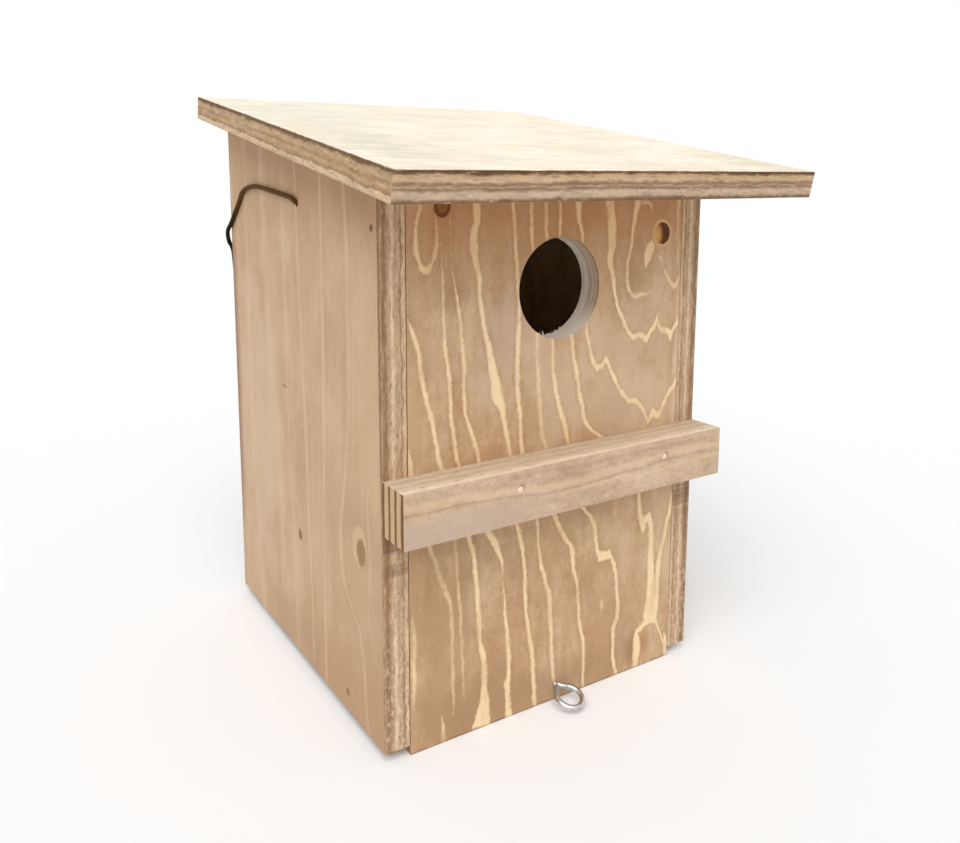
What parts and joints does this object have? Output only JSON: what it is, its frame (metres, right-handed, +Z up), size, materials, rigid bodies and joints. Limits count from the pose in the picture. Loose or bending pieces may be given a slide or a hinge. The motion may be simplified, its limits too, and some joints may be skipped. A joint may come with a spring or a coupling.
{
  "type": "nest box",
  "caption": "Plywood nest box with a sloped roof, a round entrance hole, a landing bar and a front that swings out on two nails for cleaning, with a bent hanging wire.",
  "frame": {"origin": "on the floor, under the middle of the whole object's box", "axes": "+Z up, +Y towards the back, so the entrance hole faces -Y, and +X to the right as seen by someone who looks along +Y"},
  "size_m": [0.223, 0.2352, 0.2967],
  "materials": {
    "side_ply": "satin",
    "front_ply": "satin",
    "roof_ply": "matte",
    "inner_ply": "matte",
    "bar_ply": "satin",
    "zinc": "satin",
    "nail_steel": "satin",
    "wire_coat": "satin"
  },
  "bodies": {
    "box": {"left_side": "side_ply", "right_side": "side_ply", "back_panel": "inner_ply", "floor_panel": "inner_ply", "roof_panel": "roof_ply", "pivot_nail_left": "nail_steel", "pivot_nail_right": "nail_steel", "hanging_wire": "wire_coat"},
    "front": {"front_panel": "front_ply", "landing_bar": "bar_ply", "screw_eye": "zinc"}
  },
  "joints": [
    {"name": "front_hinge", "type": "hinge", "parent": "box", "child": "front", "pos_m": [-0.005, -0.0681, 0.2295], "axis": [-1, 0, 0], "range_deg": [0, 85]}
  ]
}
